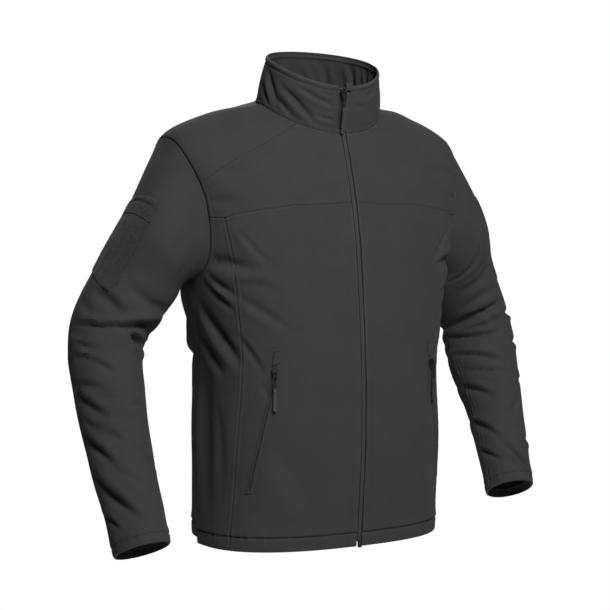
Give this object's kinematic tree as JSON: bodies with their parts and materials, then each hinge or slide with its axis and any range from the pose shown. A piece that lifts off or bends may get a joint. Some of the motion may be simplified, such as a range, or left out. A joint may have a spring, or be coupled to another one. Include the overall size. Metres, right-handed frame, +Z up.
{
  "type": "softshell jacket",
  "caption": "Zip-front stand-collar softshell jacket, hollow as worn, with long sleeves, upper-arm loop patches and two zipped front pockets.",
  "frame": {"origin": "middle of the neck opening, at the height at which the jacket hangs on the shoulders", "axes": "+Z up along the body, -Y to the wearer's front, +X to the wearer's left"},
  "size_m": [0.8107, 0.2939, 0.7736],
  "materials": {
    "shell": "charcoal bonded softshell with a fine matt weave",
    "loop": "black brushed loop fabric",
    "tape": "black woven zip tape",
    "moulded": "black moulded and coated zip hardware"
  },
  "bodies": {
    "jacket": {"yoke_right": "shell", "front_right": "shell", "side_right": "shell", "yoke_left": "shell", "front_left": "shell", "side_left": "shell", "back": "shell", "collar": "shell", "chin_guard": "shell", "sleeve_upper_right": "shell", "sleeve_under_right": "shell", "patch_strip_right": "loop", "patch_loop_right": "loop", "zip_tape_right": "tape", "pocket_zip_right": "tape", "pocket_garage_right": "shell", "pocket_slider_right": "moulded", "sleeve_upper_left": "shell", "sleeve_under_left": "shell", "patch_strip_left": "loop", "patch_loop_left": "loop", "zip_tape_left": "tape", "pocket_zip_left": "tape", "pocket_garage_left": "shell", "pocket_slider_left": "moulded", "front_slider": "moulded", "zip_box": "moulded"},
    "front_pull": {"front_pull": "moulded"},
    "pocket_pull_right": {"pocket_pull_right": "moulded"},
    "pocket_pull_left": {"pocket_pull_left": "moulded"}
  },
  "joints": [
    {"name": "front_pull_swing", "type": "hinge", "parent": "jacket", "child": "front_pull", "pos_m": [-0.00703, -0.10655, 0.01912], "axis": [-0.9986, 0.052, 0], "range_deg": [0, 150]},
    {"name": "pocket_pull_right_swing", "type": "hinge", "parent": "jacket", "child": "pocket_pull_right", "pos_m": [-0.14513, -0.12921, -0.40487], "axis": [-0.8621, 0.5068, 0], "range_deg": [0, 150]},
    {"name": "pocket_pull_left_swing", "type": "hinge", "parent": "jacket", "child": "pocket_pull_left", "pos_m": [0.14513, -0.12921, -0.40487], "axis": [-0.8621, -0.5068, 0], "range_deg": [0, 150]}
  ]
}
